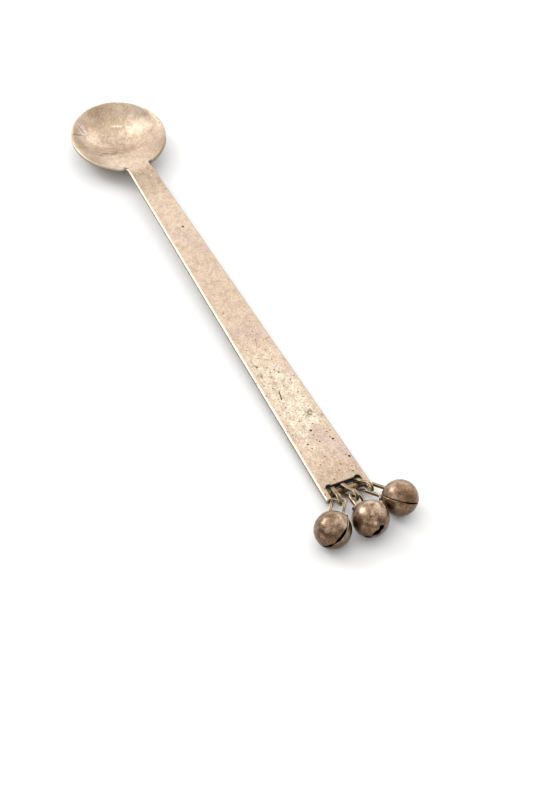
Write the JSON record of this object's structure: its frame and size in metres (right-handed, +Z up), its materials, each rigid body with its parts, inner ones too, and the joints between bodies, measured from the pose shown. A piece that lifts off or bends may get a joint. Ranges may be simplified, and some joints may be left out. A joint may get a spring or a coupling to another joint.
{
  "type": "jam spoon",
  "caption": "Small sheet-metal jam spoon with a shallow round bowl, a flat widening handle and jingle bells hung by wire links from a bar across the slotted handle end.",
  "frame": {"origin": "on the table under the middle of the bowl, at the middle of the small flat that the bowl stands on", "axes": "+X along the handle from the bowl to the slotted end, +Y across the handle along the cross bar, +Z up from the table"},
  "size_m": [0.1739, 0.0279, 0.0092],
  "materials": {
    "spoon_metal": "worn satin, lightly tarnished",
    "bar_metal": "dull, olive tarnish",
    "wire_metal": "dull, rubbed bright on the edges",
    "bell_metal": "brown patina, rubbed bright on the crowns",
    "pellet_metal": "dull steel"
  },
  "bodies": {
    "spoon": {"spoon_body": "spoon_metal", "cross_bar": "bar_metal"},
    "link_left": {"link_left": "wire_metal"},
    "bell_left": {"bell_left_upper_cup": "bell_metal", "bell_left_lower_cup": "bell_metal", "bell_left_loop": "wire_metal"},
    "pellet_left": {"bell_left_pellet": "pellet_metal"},
    "link_middle": {"link_middle": "wire_metal"},
    "bell_middle": {"bell_middle_upper_cup": "bell_metal", "bell_middle_lower_cup": "bell_metal", "bell_middle_loop": "wire_metal"},
    "pellet_middle": {"bell_middle_pellet": "pellet_metal"},
    "link_right": {"link_right": "wire_metal"},
    "bell_right": {"bell_right_upper_cup": "bell_metal", "bell_right_lower_cup": "bell_metal", "bell_right_loop": "wire_metal"},
    "pellet_right": {"bell_right_pellet": "pellet_metal"}
  },
  "joints": [
    {"name": "link_left_swing", "type": "hinge", "parent": "spoon", "child": "link_left", "pos_m": [0.14197, -0.0033, 0.0018], "axis": [0, 1, 0], "range_deg": [-59, 131]},
    {"name": "bell_left_nod", "type": "hinge", "parent": "link_left", "child": "bell_left", "pos_m": [0.14766, -0.0048, 0.00594], "axis": [0, 1, 0], "range_deg": [-105, 15]},
    {"name": "pellet_left_roll", "type": "hinge", "parent": "bell_left", "child": "pellet_left", "pos_m": [0.15437, -0.00967, 0.00462], "axis": [0.7992, -0.5802, -0.157], "continuous": true},
    {"name": "link_middle_swing", "type": "hinge", "parent": "spoon", "child": "link_middle", "pos_m": [0.14197, -0.0006, 0.0018], "axis": [0, 1, 0], "range_deg": [-67, 123]},
    {"name": "bell_middle_nod", "type": "hinge", "parent": "link_middle", "child": "bell_middle", "pos_m": [0.14663, -0.00023, 0.00428], "axis": [0, 1, 0], "range_deg": [-85, 34]},
    {"name": "pellet_middle_roll", "type": "hinge", "parent": "bell_middle", "child": "pellet_middle", "pos_m": [0.15503, -0.00023, 0.00462], "axis": [0.9992, 0, 0.04], "continuous": true},
    {"name": "link_right_swing", "type": "hinge", "parent": "spoon", "child": "link_right", "pos_m": [0.14197, 0.0033, 0.0018], "axis": [0, 1, 0], "range_deg": [-65, 125]},
    {"name": "bell_right_nod", "type": "hinge", "parent": "link_right", "child": "bell_right", "pos_m": [0.14534, 0.0042, 0.00375], "axis": [0, 1, 0], "range_deg": [-84, 36]},
    {"name": "pellet_right_roll", "type": "hinge", "parent": "bell_right", "child": "pellet_right", "pos_m": [0.15218, 0.00899, 0.00462], "axis": [0.815, 0.57, 0.104], "continuous": true}
  ]
}
